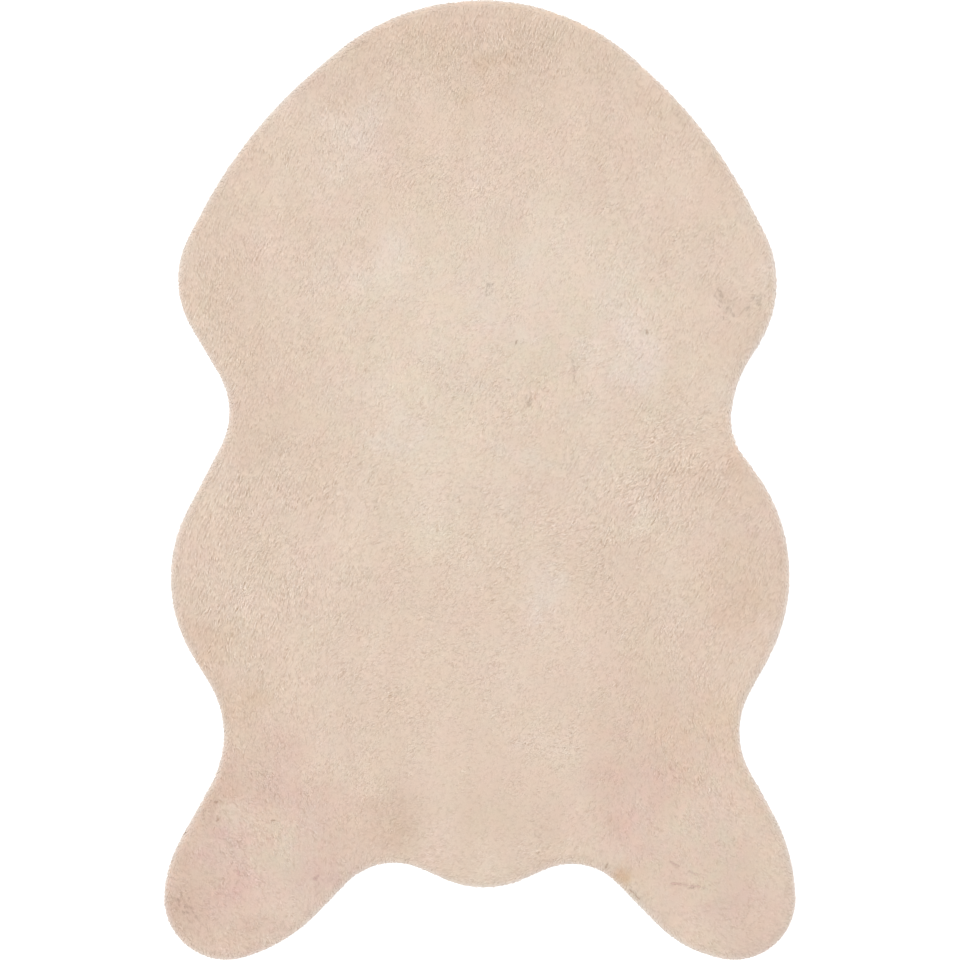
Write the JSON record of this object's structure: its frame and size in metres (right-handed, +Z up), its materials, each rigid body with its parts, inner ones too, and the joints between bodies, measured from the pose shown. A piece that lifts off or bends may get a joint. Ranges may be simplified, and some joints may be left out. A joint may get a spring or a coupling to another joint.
{
  "type": "faux fur rug",
  "caption": "Small flat hide-shaped rug of short-pile faux fur, with rounded crown, shoulder and hip bulges and two feet; lies on a floor or seat as a soft mat.",
  "frame": {"origin": "on the floor, under the middle of the rug's box", "axes": "+X across the rug, +Y from the two feet towards the crown, +Z up out of the pile"},
  "size_m": [0.591, 0.899, 0.012],
  "materials": {
    "fur": "matte plush pile, pale warm beige"
  },
  "bodies": {
    "root": {"rug": "fur"}
  },
  "joints": []
}
